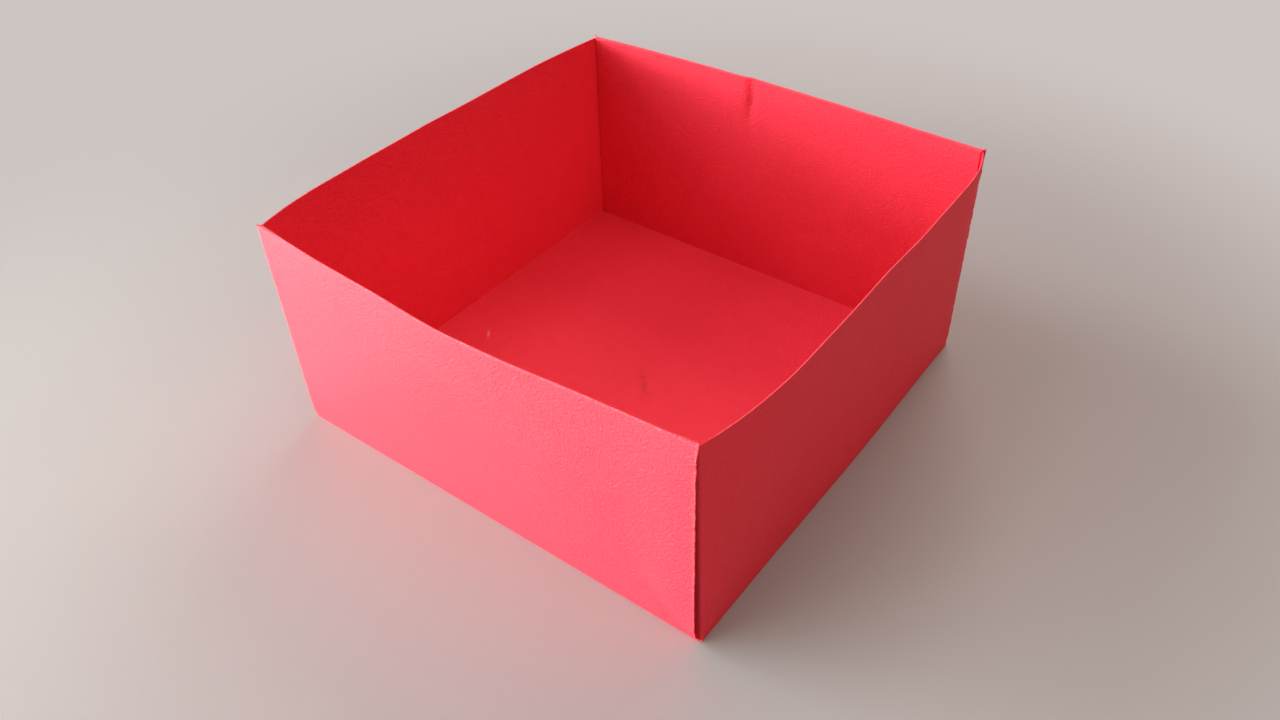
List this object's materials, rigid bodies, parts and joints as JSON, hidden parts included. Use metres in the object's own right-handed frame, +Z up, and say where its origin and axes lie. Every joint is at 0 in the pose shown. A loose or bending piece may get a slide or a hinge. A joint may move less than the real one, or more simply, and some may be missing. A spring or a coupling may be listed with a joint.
{
  "type": "origami box",
  "caption": "Square open-top box folded from a sheet of red paper, about twice as wide as it is high, with rims rolled inward and slightly bowed walls.",
  "frame": {"origin": "centre of the underside of the box's floor", "axes": "+Z up through the open top, +X and +Y square to the walls; the walls that hold the folded-in gussets face -Y and +Y, the plain walls face -X and +X"},
  "size_m": [0.0784, 0.0776, 0.0371],
  "materials": {
    "red_paper": "matte"
  },
  "bodies": {
    "root": {"folded_sheet": "red_paper"}
  },
  "joints": []
}
